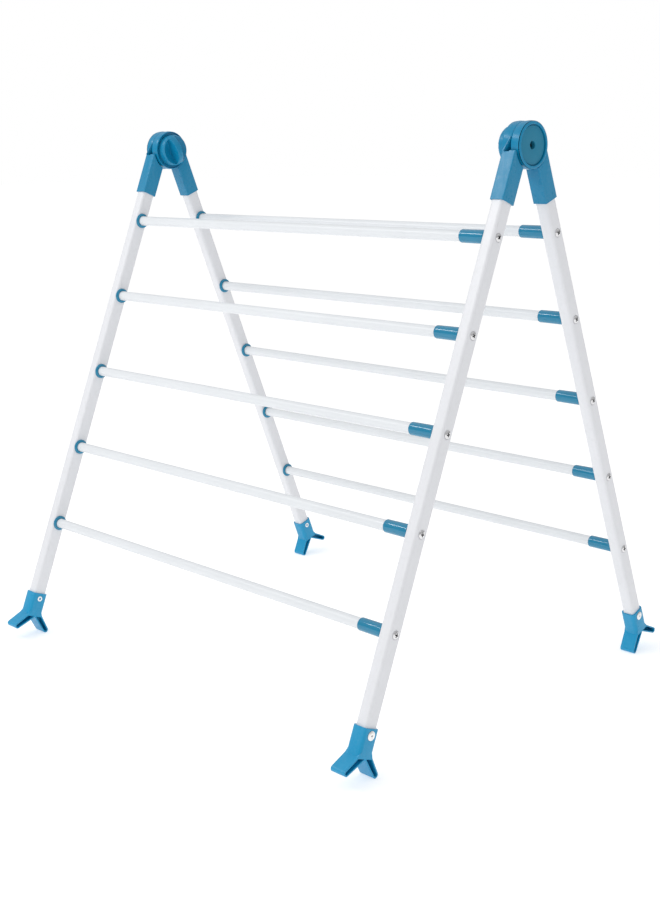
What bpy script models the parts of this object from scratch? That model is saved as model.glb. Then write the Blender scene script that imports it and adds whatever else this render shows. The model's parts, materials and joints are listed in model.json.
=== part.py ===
"""Folding clothes drying rack: two ladder frames hinged at the top, on four forked feet.

Units are metres, +Z is up, and the origin is on the floor at the middle of the rack. The rungs
run along X, the front ladder leans towards -Y and the back one towards +Y. Every rung is a
telescope: an outer tube fixed in the left rail, and an inner tube fixed in the right rail that
slides out of it through a blue end sleeve.

Each ladder is drawn in its own leaning frame, an empty on the hinge axis, in which local -Z runs
down the leg and local +Y points away from the other ladder. The front frame is the back frame
turned half a turn about Z, so its local +X points to the world's -X.
"""

import math

import bmesh
import bpy
from mathutils import Matrix, Vector

# Ladders
RUNGS = 5
RUNG_PITCH = 0.120  # along the leg, the first one from the hinge axis
LEG_ANGLE = math.radians(21.7)  # between a leg and the vertical
LEG_OFFSET = 0.0155  # from the hinge axis out to the leg's centre line
RAIL_X = 0.3465  # from the middle of the rack to a rail's centre

# Rails: rounded rectangular steel tube
RAIL_WIDTH = 0.0176  # along X
RAIL_DEPTH = 0.0206
RAIL_CORNER = 0.004
RAIL_WALL = 0.0008
GAP = 0.0003  # between pieces that touch
SHELL = 0.0010  # wall of the hinge sockets around the rails
SOCKET_CORNER = 0.0016
SOCKET_WIDTH = RAIL_WIDTH + 2 * (GAP + SHELL)
SOCKET_DEPTH = RAIL_DEPTH + 2 * (GAP + SHELL)

# Telescopic rungs
TUBE_RADIUS = 0.0070
TUBE_WALL = 0.0006
INNER_RADIUS = TUBE_RADIUS - TUBE_WALL - GAP
PLUG_LENGTH = 0.018  # threaded end plug that the fixing screw bites in
PILOT_RADIUS = 0.0015
SCREW_HOLE_RADIUS = 0.0023
TUBE_STEPS = 12
SLEEVE_LENGTH = 0.037
SLEEVE_RADIUS = 0.0084
SLEEVE_LIP = 0.0022  # part of the sleeve past the end of the outer tube
COLLAR_RADIUS = 0.0109
COLLAR_LENGTH = 0.0030
SPIGOT_RADIUS = 0.0084
SPIGOT_LENGTH = 0.0032
HOLE_PLAY = 0.0004
INNER_TUBE_LENGTH = 0.600

# Hinges: two knuckles side by side, clamped by a bolt and a knob
KNUCKLE_RADIUS = 0.0288
KNUCKLE_REACH = 0.0131  # from the rail's centre plane to a knuckle's outer face
KNUCKLE_EDGE = 0.0018
KNUCKLE_CROWN = 0.0006  # how much lower a knuckle's round face is at its ends than in between
KNUCKLE_STEPS = 28
ARM_TOP = 0.0095
SOCKET_TOP = 0.0170
SOCKET_BOTTOM = 0.0770
POCKET_TOP = 0.0360
CLEARANCE_RADIUS = 0.0306  # swept free for the other knuckle
RECESS_RADIUS = 0.0243
RECESS_DEPTH = 0.0018
GROOVE_WIDTH = 0.0013  # groove round the floor of the recess
GROOVE_DEPTH = 0.0012
KNOB_RECESS_RADIUS = 0.0270
KNOB_RECESS_DEPTH = 0.0028
BOLT_RADIUS = 0.0030
HEAD_RADIUS = 0.0045
HEAD_LENGTH = 0.0040
COUNTERBORE_DEPTH = 0.0092
BOLT_ENGAGEMENT = 0.0110  # length of bolt inside the knob
NOTCH_TOP = 0.0005  # notch in the web, from the seam down and away to the socket
NOTCH_WIDTH = 0.0060
NOTCH_DEPTH = 0.0070

# Knobs: a dome with a bowl sunk in it on each side of a central rib
KNOB_RADIUS = 0.0228
KNOB_HEIGHT = 0.0217  # above the knuckle's face
KNOB_DOME_RADIUS = 0.0258
RIB_HALF_WIDTH = 0.0042
BOWL_RADIUS = 0.0212
BOWL_RIM_HEIGHT = 0.0100  # above the knuckle's face, as the next
BOWL_FLOOR_HEIGHT = 0.0040
BOWL_FLOOR_RADIUS = 0.0070
KNOB_STEPS = 28
RIB_TILT = {"left": LEG_ANGLE, "right": 0.0}

# Feet: a sleeve on the rail's end that splits into two hollow prongs
FOOT_SHELL = 0.0020
FOOT_WIDTH = RAIL_WIDTH + 2 * (GAP + FOOT_SHELL)
FOOT_DEPTH = RAIL_DEPTH + 2 * (GAP + FOOT_SHELL)
FOOT_CORNER = 0.0055
FOOT_TOP = 0.7105  # along the leg from the hinge axis
RIVET_DROP = 0.0080
FOOT_POCKET = 0.0260
PRONG_ROOT = 0.0340
CROTCH = 0.0365
SLOT_TOP = 0.0358
TIP_DROP = 0.0533
TIP_SPREAD = 0.0255
TIP_RADIUS = 0.0042
PRONG_WALL = 0.0018
FORK_STEP = 0.0001  # how far the fork's sides sit inside the sleeve's
PRONG_WEB = 0.0016  # middle web between the prong's two pockets
RIVET_HEAD_RADIUS = 0.0061
RIVET_HEAD_HEIGHT = 0.0013
RIVET_RADIUS = 0.0024
RIVET_TAIL_RADIUS = 0.0040
RIVET_STEPS = 12

# The lowest points are the inner prongs' tips.
TIP_ALONG = FOOT_TOP + TIP_DROP
TIP_OUT = LEG_OFFSET - TIP_SPREAD
HINGE_HEIGHT = TIP_ALONG * math.cos(LEG_ANGLE) - TIP_OUT * math.sin(LEG_ANGLE) + TIP_RADIUS

RACK = "clothes_drying_rack"
HELPERS = "cutters"


def clear_scene():
    for obj in list(bpy.data.objects):
        bpy.data.objects.remove(obj, do_unlink=True)
    for name in (RACK, HELPERS):
        collection = bpy.data.collections.new(name)
        bpy.context.scene.collection.children.link(collection)


def make_material(name, colour, roughness, metallic=0.0):
    material = bpy.data.materials.new(name)
    material.use_nodes = True
    shader = material.node_tree.nodes["Principled BSDF"]
    shader.inputs["Base Color"].default_value = (*colour, 1.0)
    shader.inputs["Roughness"].default_value = roughness
    shader.inputs["Metallic"].default_value = metallic
    material.diffuse_color = (*colour, 1.0)
    return material


def add_object(name, mesh, parent, place=None, material=None):
    """An object in the rack's collection, or a hidden helper where it has no material."""
    obj = bpy.data.objects.new(name, mesh)
    obj.parent = parent
    if place is not None:
        obj.matrix_local = place
    if material is None:
        obj.hide_render = True
        obj.display_type = "WIRE"
        bpy.data.collections[HELPERS].objects.link(obj)
    else:
        mesh.materials.clear()
        mesh.materials.append(material)
        bpy.data.collections[RACK].objects.link(obj)
    return obj


def add_boolean(obj, other, operation):
    modifier = obj.modifiers.new(f"{operation}_{other.name}", "BOOLEAN")
    modifier.operation = operation
    modifier.object = other
    return modifier


def cut(obj, *cutters):
    for cutter in cutters:
        add_boolean(obj, cutter, "DIFFERENCE")


def join(obj, *others):
    for other in others:
        add_boolean(obj, other, "UNION")


def mesh_from(bm, name):
    mesh = bpy.data.meshes.new(name)
    bm.to_mesh(mesh)
    bm.free()
    mesh.shade_smooth()
    mesh.set_sharp_from_angle(angle=math.radians(30))
    return mesh


def box_mesh(name, low, high, corner=0.0):
    """A box between two corners. Its four edges along Z are rounded to the radius corner."""
    bm = bmesh.new()
    bmesh.ops.create_cube(bm, size=1.0)
    low, high = Vector(low), Vector(high)
    for vert in bm.verts:
        vert.co = Vector(low[i] if vert.co[i] < 0 else high[i] for i in range(3))
    if corner:
        upright = [e for e in bm.edges if abs(e.verts[0].co.z - e.verts[1].co.z) > 1e-9]
        bmesh.ops.bevel(bm, geom=upright, offset=corner, segments=3, profile=0.5, affect="EDGES")
    return mesh_from(bm, name)


def cylinder_mesh(name, radius, x_from, x_to, steps):
    """A cylinder along X."""
    bm = bmesh.new()
    bmesh.ops.create_cone(
        bm, cap_ends=True, segments=steps, radius1=radius, radius2=radius, depth=x_to - x_from
    )
    turn = Matrix.Rotation(math.pi / 2, 4, "Y")
    move = Matrix.Translation(((x_from + x_to) / 2, 0, 0))
    bmesh.ops.transform(bm, matrix=move @ turn, verts=bm.verts)
    return mesh_from(bm, name)


def turned_mesh(name, profile):
    """The outline of a turned piece, as (x, radius) points that run from +X to -X on the outside.

    An outline that starts on the axis ends on it too, and any other is a closed ring.
    """
    bm = bmesh.new()
    verts = [bm.verts.new((x, radius, 0)) for x, radius in profile]
    pairs = list(zip(verts, verts[1:]))
    if profile[0][1] > 0:
        pairs.append((verts[-1], verts[0]))
    for pair in pairs:
        bm.edges.new(pair)
    return mesh_from(bm, name)


def add_screw(obj, steps):
    """Turns the outline once round X."""
    screw = obj.modifiers.new("turn", "SCREW")
    screw.axis = "X"
    screw.steps = steps
    screw.render_steps = steps
    screw.use_merge_vertices = True
    screw.merge_threshold = 0.00001
    screw.use_smooth_shade = True
    return screw


def outline_object(name, points, thickness, parent, x_middle=0.0):
    """A flat outline of (out, down) points in a leg's plane, made thick along X, as a mesh."""
    curve = bpy.data.curves.new(name, "CURVE")
    curve.dimensions = "2D"
    curve.fill_mode = "BOTH"
    curve.extrude = thickness / 2
    spline = curve.splines.new("POLY")
    spline.points.add(len(points) - 1)
    for point, (out, down) in zip(spline.points, points):
        point.co = (out, -down, 0, 1)
    spline.use_cyclic_u = True
    drawn = bpy.data.objects.new(name + "_outline", curve)
    bpy.data.collections[HELPERS].objects.link(drawn)
    graph = bpy.context.evaluated_depsgraph_get()
    mesh = bpy.data.meshes.new_from_object(drawn.evaluated_get(graph))
    bpy.data.objects.remove(drawn, do_unlink=True)
    bm = bmesh.new()
    bm.from_mesh(mesh)
    bpy.data.meshes.remove(mesh)
    bmesh.ops.remove_doubles(bm, verts=bm.verts, dist=0.00001)
    # The curve lies in its own XY plane: its X goes to local Y, its Y to Z and its Z to X.
    stand = Matrix(((0, 0, 1, x_middle), (1, 0, 0, 0), (0, 1, 0, 0), (0, 0, 0, 1)))
    bmesh.ops.transform(bm, matrix=stand, verts=bm.verts)
    bmesh.ops.recalc_face_normals(bm, faces=bm.faces)
    return add_object(name, mesh_from(bm, name), parent)


def make_frame(name, back):
    """The leaning frame of one ladder, an empty on the hinge axis."""
    frame = bpy.data.objects.new(name, None)
    bpy.data.collections[RACK].objects.link(frame)
    lean = Matrix.Rotation(LEG_ANGLE, 4, "X")
    turn = Matrix.Identity(4) if back else Matrix.Rotation(math.pi, 4, "Z")
    frame.matrix_world = Matrix.Translation((0, 0, HINGE_HEIGHT)) @ turn @ lean
    return frame


def rung_drops():
    return [RUNG_PITCH * (i + 1) for i in range(RUNGS)]


def make_rail(name, frame, x_middle, inward, hole_radius, material):
    """A rail with its rung holes in the inward wall and the screw holes in the outward one."""
    half = Vector((RAIL_WIDTH / 2, RAIL_DEPTH / 2))
    top = -(POCKET_TOP + GAP)
    bottom = -(FOOT_TOP + FOOT_POCKET - GAP)
    low = (x_middle - half.x, LEG_OFFSET - half.y, bottom)
    high = (x_middle + half.x, LEG_OFFSET + half.y, top)
    rail = add_object(name, box_mesh(name, low, high, RAIL_CORNER), frame, material=material)
    wall = Vector((RAIL_WALL, RAIL_WALL, -RAIL_WALL))
    inside = box_mesh(name + "_inside", Vector(low) + wall, Vector(high) - wall,
                      RAIL_CORNER - RAIL_WALL)
    drills = bmesh.new()
    edge = half.x + RAIL_WALL
    for drop in rung_drops():
        for radius, side, steps in (
            (hole_radius, inward, TUBE_STEPS),
            (SCREW_HOLE_RADIUS, -inward, TUBE_STEPS // 2 + 2),
        ):
            ends = sorted((x_middle, x_middle + side * edge))
            drill = cylinder_mesh("drill", radius, ends[0], ends[1], steps)
            drill.transform(Matrix.Translation((0, LEG_OFFSET, -drop)))
            drills.from_mesh(drill)
            bpy.data.meshes.remove(drill)
    rivet = cylinder_mesh("drill", RIVET_RADIUS + HOLE_PLAY, x_middle - edge, x_middle + edge, 8)
    rivet.transform(Matrix.Translation((0, LEG_OFFSET, -(FOOT_TOP + RIVET_DROP))))
    drills.from_mesh(rivet)
    bpy.data.meshes.remove(rivet)
    cut(
        rail,
        add_object(name + "_inside", inside, frame),
        add_object(name + "_drills", mesh_from(drills, name + "_drills"), frame),
    )
    return rail


def knuckle_profile(knob_side):
    """The turned outline of a knuckle: a bore, and a recess in its outer face."""
    bore = BOLT_RADIUS + HOLE_PLAY
    face = KNUCKLE_REACH
    inner = GAP / 2
    outside = [
        (face, KNUCKLE_RADIUS - KNUCKLE_EDGE),
        (face - KNUCKLE_EDGE * 0.3, KNUCKLE_RADIUS - KNUCKLE_EDGE * 0.3),
        (face - KNUCKLE_EDGE, KNUCKLE_RADIUS - KNUCKLE_CROWN * 0.1),
        (face * 0.55, KNUCKLE_RADIUS),
        (face * 0.25, KNUCKLE_RADIUS - KNUCKLE_CROWN * 0.35),
        (inner, KNUCKLE_RADIUS - KNUCKLE_CROWN),
        (inner, bore),
    ]
    if knob_side:
        floor = face - KNOB_RECESS_DEPTH
        recess = [(floor, bore), (floor, KNOB_RECESS_RADIUS), (face, KNOB_RECESS_RADIUS)]
    else:
        floor = face - RECESS_DEPTH
        seat = floor - COUNTERBORE_DEPTH
        head = HEAD_RADIUS + HOLE_PLAY
        recess = [
            (seat, bore),
            (seat, head),
            (floor, head),
            (floor, RECESS_RADIUS - GROOVE_WIDTH),
            (floor - GROOVE_DEPTH, RECESS_RADIUS - GROOVE_WIDTH),
            (floor - GROOVE_DEPTH, RECESS_RADIUS),
            (face, RECESS_RADIUS),
        ]
    return outside + recess


def make_hinge_arm(name, frame, x_middle, knob_side, material):
    """A knuckle on the local +X half of the hinge, with the socket that holds the rail."""
    place = Matrix.Translation((x_middle, 0, 0))
    half = SOCKET_WIDTH / 2
    inner, outer = LEG_OFFSET - SOCKET_DEPTH / 2, LEG_OFFSET + SOCKET_DEPTH / 2
    socket = box_mesh(name, (-half, inner, -SOCKET_BOTTOM), (half, outer, -SOCKET_TOP),
                      SOCKET_CORNER)
    arm = add_object(name, socket, frame, place, material)
    sweep = cylinder_mesh(name + "_sweep", CLEARANCE_RADIUS, -0.03, 0.03, 2 * KNUCKLE_STEPS)
    web = box_mesh(name + "_web", (GAP / 2, inner + 0.0005, -POCKET_TOP + 0.001),
                   (half - 0.0002, outer - 0.0002, -ARM_TOP), SOCKET_CORNER - 0.0001)
    profile = turned_mesh(name + "_knuckle", knuckle_profile(knob_side))
    knuckle = add_object(name + "_knuckle", profile, frame, place)
    add_screw(knuckle, KNUCKLE_STEPS)
    play = Vector((GAP, GAP, 0))
    rail_half = Vector((RAIL_WIDTH / 2, RAIL_DEPTH / 2, 0)) + play
    centre = Vector((0, LEG_OFFSET, 0))
    pocket = box_mesh(name + "_pocket", centre - rail_half - Vector((0, 0, SOCKET_BOTTOM + 0.01)),
                      centre + rail_half - Vector((0, 0, POCKET_TOP)), RAIL_CORNER + GAP)
    cut(arm, add_object(name + "_sweep", sweep, frame, place))
    join(arm, add_object(name + "_web", web, frame, place), knuckle)
    notch = [(-0.0005, NOTCH_TOP), (NOTCH_WIDTH, SOCKET_TOP + 0.001),
             (-0.0005, SOCKET_TOP + 0.001)]
    bm = bmesh.new()
    ends = []
    for y in (outer - NOTCH_DEPTH, outer + 0.005):
        ends.append([bm.verts.new((x, y, -drop)) for x, drop in notch])
        bm.faces.new(ends[-1])
    for i in range(3):
        bm.faces.new((ends[0][i], ends[0][i - 1], ends[1][i - 1], ends[1][i]))
    bmesh.ops.recalc_face_normals(bm, faces=bm.faces)
    cut(arm, add_object(name + "_pocket", pocket, frame, place),
        add_object(name + "_notch", mesh_from(bm, name + "_notch"), frame, place))
    return arm


def prong_outline(side, inset, top):
    """One prong as (out, down) points from the middle of the foot, shrunk by inset."""
    root = Vector((FOOT_DEPTH / 2 - FORK_STEP, PRONG_ROOT - FORK_STEP))
    crotch = Vector((0.0, CROTCH))
    tip = Vector((TIP_SPREAD, TIP_DROP))
    radius = TIP_RADIUS - inset

    def tangent(start, turn):
        """The unit direction from start that just touches the tip's circle."""
        away = tip - start
        angle = math.atan2(away.y, away.x) + turn * math.asin(TIP_RADIUS / away.length)
        return Vector((math.cos(angle), math.sin(angle)))

    outer, inner = tangent(root, -1), tangent(crotch, 1)
    outer_normal = Vector((outer.y, -outer.x))
    inner_normal = Vector((-inner.y, inner.x))
    # Both straight sides move in by the inset and start from the level of top.
    outer_start = root - outer_normal * inset
    outer_start += outer * (top - outer_start.y) / outer.y
    inner_start = crotch - inner_normal * inset
    inner_start += inner * (top - inner_start.y) / inner.y
    begin = math.atan2(outer_normal.y, outer_normal.x)
    end = math.atan2(inner_normal.y, inner_normal.x)
    steps = 7
    arc = [begin + (end - begin) * i / steps for i in range(steps + 1)]
    points = [outer_start]
    points += [tip + radius * Vector((math.cos(t), math.sin(t))) for t in arc]
    points.append(inner_start)
    return [(side * p.x + LEG_OFFSET, p.y + FOOT_TOP) for p in points]


def fork_outline():
    """Both prongs and the end of the sleeve in one outline, clockwise from the inner side."""
    overlap = FOOT_POCKET + 0.001
    inside = FOOT_DEPTH / 2
    out_side = prong_outline(1, 0.0, PRONG_ROOT - FORK_STEP)[:-1]
    in_side = prong_outline(-1, 0.0, PRONG_ROOT - FORK_STEP)[:-1]
    shoulders = [(LEG_OFFSET + side * inside * 0.7, FOOT_TOP + overlap) for side in (-1, 1)]
    return [shoulders[1], *out_side, (LEG_OFFSET, FOOT_TOP + CROTCH), *reversed(in_side),
            shoulders[0]]


def make_foot(name, frame, x_middle, material):
    half = Vector((FOOT_WIDTH / 2, FOOT_DEPTH / 2))
    low = (x_middle - half.x, LEG_OFFSET - half.y, -(FOOT_TOP + PRONG_ROOT))
    high = (x_middle + half.x, LEG_OFFSET + half.y, -FOOT_TOP)
    foot = add_object(name, box_mesh(name, low, high, FOOT_CORNER), frame, material=material)
    play = Vector((RAIL_WIDTH / 2 + GAP, RAIL_DEPTH / 2 + GAP))
    pocket = box_mesh(
        name + "_pocket",
        (x_middle - play.x, LEG_OFFSET - play.y, -(FOOT_TOP + FOOT_POCKET)),
        (x_middle + play.x, LEG_OFFSET + play.y, -FOOT_TOP + 0.01),
        RAIL_CORNER + GAP,
    )
    fork_width = FOOT_WIDTH - 2 * FORK_STEP
    body = outline_object(name + "_fork", fork_outline(), fork_width, frame, x_middle)
    join(foot, body)
    depth = (FOOT_WIDTH - PRONG_WEB) / 2 + 0.002
    for side in (-1, 1):
        slot = prong_outline(side, PRONG_WALL, SLOT_TOP)
        for face in (-1, 1):
            x_slot = x_middle + face * (PRONG_WEB / 2 + depth / 2)
            label = f"{name}_slot_{'in' if side < 0 else 'out'}_{'a' if face < 0 else 'b'}"
            cut(foot, outline_object(label, slot, depth, frame, x_slot))
    drill = cylinder_mesh(name + "_drill", RIVET_RADIUS + HOLE_PLAY, -half.x - 0.01,
                          half.x + 0.01, RIVET_STEPS)
    place = Matrix.Translation((x_middle, LEG_OFFSET, -(FOOT_TOP + RIVET_DROP)))
    cut(foot, add_object(name + "_pocket", pocket, frame),
        add_object(name + "_drill", drill, frame, place))
    return foot


def make_rivet(name, frame, x_middle, facing, material):
    """A rivet through the foot and the rail, with its domed head on the facing side."""
    half = FOOT_WIDTH / 2 + GAP
    head, shank, tail = RIVET_HEAD_RADIUS, RIVET_RADIUS, RIVET_TAIL_RADIUS
    profile = [
        (half + RIVET_HEAD_HEIGHT, 0.0),
        (half + RIVET_HEAD_HEIGHT * 0.9, head * 0.55),
        (half + RIVET_HEAD_HEIGHT * 0.4, head),
        (half, head),
        (half, shank),
        (-half, shank),
        (-half, tail),
        (-half - 0.0008, tail * 0.9),
        (-half - 0.0008, 0.0),
    ]
    place = Matrix.Translation((x_middle, LEG_OFFSET, -(FOOT_TOP + RIVET_DROP)))
    if facing < 0:
        place = place @ Matrix.Rotation(math.pi, 4, "Z")
    rivet = add_object(name, turned_mesh(name, profile), frame, place, material)
    add_screw(rivet, RIVET_STEPS)
    return rivet


def make_bolt(name, side, material):
    """The hinge bolt of one side, from its head in the outer knuckle into the knob."""
    seat = KNUCKLE_REACH - RECESS_DEPTH - COUNTERBORE_DEPTH + GAP
    end = -(KNUCKLE_REACH - KNOB_RECESS_DEPTH + BOLT_ENGAGEMENT)
    top = seat + HEAD_LENGTH
    profile = [
        (top - 0.0030, 0.0),
        (top - 0.0030, HEAD_RADIUS * 0.52),
        (top, HEAD_RADIUS * 0.52),
        (top, HEAD_RADIUS * 0.92),
        (top - 0.0004, HEAD_RADIUS),
        (seat, HEAD_RADIUS),
        (seat, BOLT_RADIUS),
        (end + 0.0006, BOLT_RADIUS),
        (end, BOLT_RADIUS - 0.0006),
        (end, 0.0),
    ]
    place = Matrix.Translation((side * RAIL_X, 0, HINGE_HEIGHT))
    if side < 0:
        place = place @ Matrix.Rotation(math.pi, 4, "Z")
    bolt = add_object(name, turned_mesh(name, profile), None, place, material)
    add_screw(bolt, RIVET_STEPS)
    return bolt


def knob_profile():
    """The knob before its scoops, with x measured from the middle of the hinge to the knob."""
    base = KNUCKLE_REACH - KNOB_RECESS_DEPTH + GAP
    top = KNUCKLE_REACH + KNOB_HEIGHT
    dome_middle = top - KNOB_DOME_RADIUS
    start = math.asin(KNOB_RADIUS / KNOB_DOME_RADIUS)
    arc = [start * i / 6 for i in range(1, 7)]
    dome = [
        (dome_middle + KNOB_DOME_RADIUS * math.cos(t), KNOB_DOME_RADIUS * math.sin(t)) for t in arc
    ]
    bore = BOLT_RADIUS + HOLE_PLAY
    return [
        (top, 0.0),
        *dome,
        (base, KNOB_RADIUS),
        (base, bore),
        (base + BOLT_ENGAGEMENT + 0.002, bore),
        (base + BOLT_ENGAGEMENT + 0.002, 0.0),
    ]


def make_knob(name, side, tilt, material):
    """A clamp knob on the inner side of a hinge. Its rib leans by tilt from the vertical."""
    place = Matrix.Translation((side * RAIL_X, 0, HINGE_HEIGHT))
    if side > 0:
        place = place @ Matrix.Rotation(math.pi, 4, "Z")
    place = place @ Matrix.Rotation(tilt, 4, "X")
    knob = add_object(name, turned_mesh(name, knob_profile()), None, place, material)
    add_screw(knob, KNOB_STEPS)
    face = KNUCKLE_REACH
    above = face + KNOB_HEIGHT + 0.003
    bowl = [
        (above, 0.0),
        (above, BOWL_RADIUS),
        (face + BOWL_RIM_HEIGHT, BOWL_RADIUS),
        (face + BOWL_FLOOR_HEIGHT * 1.5, (BOWL_RADIUS + BOWL_FLOOR_RADIUS) * 0.52),
        (face + BOWL_FLOOR_HEIGHT, BOWL_FLOOR_RADIUS),
        (face + BOWL_FLOOR_HEIGHT, 0.0),
    ]
    sunk = add_object(name + "_bowl", turned_mesh(name + "_bowl", bowl), None, place)
    add_screw(sunk, KNOB_STEPS)
    rib = box_mesh(name + "_rib", (face, -RIB_HALF_WIDTH, -0.03),
                   (above + 0.001, RIB_HALF_WIDTH, 0.03))
    cut(sunk, add_object(name + "_rib", rib, None, place))
    cut(knob, sunk)
    return knob


def add_turned(name, profile, frame, out, drop, direction, material):
    """A turned rung piece in a ladder's frame. Direction -1 turns its x to local -X."""
    place = Matrix.Translation((0, out, -drop))
    if direction < 0:
        place = place @ Matrix.Rotation(math.pi, 4, "Z")
    piece = add_object(name, turned_mesh(name, profile), frame, place, material)
    add_screw(piece, TUBE_STEPS)
    return piece


def tube_profile(low, high, radius, plug_low):
    """A tube from low to high, with a threaded plug in its low or its high end."""
    bore = radius - TUBE_WALL
    ends = [(high, bore), (high, radius), (low, radius), (low, bore)]
    if plug_low:
        return [
            *ends[:3],
            (low, PILOT_RADIUS),
            (low + PLUG_LENGTH, PILOT_RADIUS),
            (low + PLUG_LENGTH, bore),
        ]
    return [
        (high, PILOT_RADIUS),
        *ends[1:],
        (high - PLUG_LENGTH, bore),
        (high - PLUG_LENGTH, PILOT_RADIUS),
    ]


def make_rung(prefix, number, frame, drop, direction, looks):
    """The outer tube, inner tube, end sleeve and collar of one rung."""
    face = RAIL_X - RAIL_WIDTH / 2
    buried = RAIL_X + RAIL_WIDTH / 2 - RAIL_WALL - GAP
    sleeve_end = face - GAP
    outer_end = sleeve_end - SLEEVE_LIP
    outer = tube_profile(-buried, outer_end, TUBE_RADIUS, plug_low=True)
    inner = tube_profile(buried - INNER_TUBE_LENGTH, buried, INNER_RADIUS, plug_low=False)
    bore = TUBE_RADIUS + GAP
    sleeve_start = sleeve_end - SLEEVE_LENGTH
    sleeve = [
        (sleeve_end, SLEEVE_RADIUS),
        (sleeve_start + 0.0009, SLEEVE_RADIUS),
        (sleeve_start, SLEEVE_RADIUS - 0.0006),
        (sleeve_start, bore),
        (outer_end + GAP, bore),
        (outer_end + GAP, INNER_RADIUS + GAP),
        (sleeve_end, INNER_RADIUS + GAP),
    ]
    flange = -face + GAP
    collar = [
        (flange + COLLAR_LENGTH, bore),
        (flange + COLLAR_LENGTH, COLLAR_RADIUS - 0.0008),
        (flange + COLLAR_LENGTH - 0.0008, COLLAR_RADIUS),
        (flange, COLLAR_RADIUS),
        (flange, SPIGOT_RADIUS),
        (flange - SPIGOT_LENGTH, SPIGOT_RADIUS),
        (flange - SPIGOT_LENGTH, bore),
    ]
    for piece, profile, look in (
        ("outer_tube", outer, "white"),
        ("inner_tube", inner, "zinc"),
        ("end_sleeve", sleeve, "blue"),
        ("collar", collar, "blue"),
    ):
        name = f"{prefix}_{piece}_{number}"
        add_turned(name, profile, frame, LEG_OFFSET, drop, direction, looks[look])


def main():
    clear_scene()
    looks = {
        "white": make_material("white_paint", (0.84, 0.85, 0.87), 0.38),
        "blue": make_material("blue_plastic", (0.035, 0.23, 0.36), 0.42),
        "zinc": make_material("plated_steel", (0.62, 0.63, 0.64), 0.35, 1.0),
        "rivet": make_material("rivet_steel", (0.80, 0.80, 0.79), 0.30, 1.0),
        "bolt": make_material("black_steel", (0.05, 0.05, 0.055), 0.45, 1.0),
    }
    for ladder, back in (("front", False), ("back", True)):
        frame = make_frame(ladder + "_ladder", back)
        direction = 1 if back else -1
        for number, drop in enumerate(rung_drops(), start=1):
            make_rung(ladder, number, frame, drop, direction, looks)
        for side, hand in ((-1, "left"), (1, "right")):
            corner = f"{ladder}_{hand}"
            x_middle = direction * side * RAIL_X
            inward = -direction * side
            hole = SPIGOT_RADIUS if side < 0 else INNER_RADIUS
            make_rail(f"{corner}_rail", frame, x_middle, inward, hole + HOLE_PLAY, looks["white"])
            # The knuckle's outer face looks away from the rack on one side and at the knob's
            # side on the other.
            knob_side = inward > 0
            make_hinge_arm(f"{corner}_hinge_arm", frame, x_middle, knob_side, looks["blue"])
            make_foot(f"{corner}_foot", frame, x_middle, looks["blue"])
            make_rivet(f"{corner}_foot_rivet", frame, x_middle, -inward, looks["rivet"])
    for side, hand in ((-1, "left"), (1, "right")):
        make_bolt(f"{hand}_hinge_bolt", side, looks["bolt"])
        make_knob(f"{hand}_hinge_knob", side, RIB_TILT[hand], looks["blue"])


main()
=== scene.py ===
"""Looks of the folding clothes drying rack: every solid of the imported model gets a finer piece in
its place, with the rung screws added, then materials, a pale floor, soft light and the camera.
"""

import json
import math

import bmesh
import bpy
from mathutils import Matrix, Vector

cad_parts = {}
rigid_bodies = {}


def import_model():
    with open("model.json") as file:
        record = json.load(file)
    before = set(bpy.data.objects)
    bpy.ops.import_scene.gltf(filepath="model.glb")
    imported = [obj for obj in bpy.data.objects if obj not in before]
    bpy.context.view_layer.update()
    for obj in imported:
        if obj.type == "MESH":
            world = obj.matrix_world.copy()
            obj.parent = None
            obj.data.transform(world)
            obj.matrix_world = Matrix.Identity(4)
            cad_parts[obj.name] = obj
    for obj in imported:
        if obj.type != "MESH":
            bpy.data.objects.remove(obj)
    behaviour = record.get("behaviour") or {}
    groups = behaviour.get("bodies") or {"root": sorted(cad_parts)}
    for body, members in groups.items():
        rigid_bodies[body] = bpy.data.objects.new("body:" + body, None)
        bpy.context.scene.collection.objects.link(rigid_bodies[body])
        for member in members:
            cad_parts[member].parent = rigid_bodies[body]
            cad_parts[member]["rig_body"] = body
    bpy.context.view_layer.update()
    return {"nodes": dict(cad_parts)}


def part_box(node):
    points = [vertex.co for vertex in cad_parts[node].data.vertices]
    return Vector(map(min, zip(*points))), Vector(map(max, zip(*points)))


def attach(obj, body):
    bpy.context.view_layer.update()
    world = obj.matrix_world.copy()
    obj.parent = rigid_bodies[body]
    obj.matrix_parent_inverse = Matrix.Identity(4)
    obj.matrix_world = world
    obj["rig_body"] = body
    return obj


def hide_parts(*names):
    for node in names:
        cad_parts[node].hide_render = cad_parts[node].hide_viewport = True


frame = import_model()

NODES = frame["nodes"]


def middle(node):
    low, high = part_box(node)
    return (low + high) / 2


# The back ladder's lean, its offset from the hinge axis and its rung pitch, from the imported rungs
AXIS = middle("right_hinge_bolt")
FIRST, LAST = middle("back_outer_tube_1"), middle("back_outer_tube_5")
SPAN = Vector((LAST.y - FIRST.y, LAST.z - FIRST.z))
PITCH = SPAN.length / 4
LEAN = math.atan2(SPAN.x, -SPAN.y)
OUT = Vector((math.cos(LEAN), math.sin(LEAN)))
OFFSET = OUT.dot(Vector((FIRST.y, FIRST.z - AXIS.z)))
RAIL_X = middle("front_right_rail").x
RUNGS = 5

SHARP_ANGLE = 32
ARC_STEP = math.radians(18)
CLOSE = 0.00012  # room between a tube and a piece that's fixed to it
NEAR = 0.0001

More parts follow.
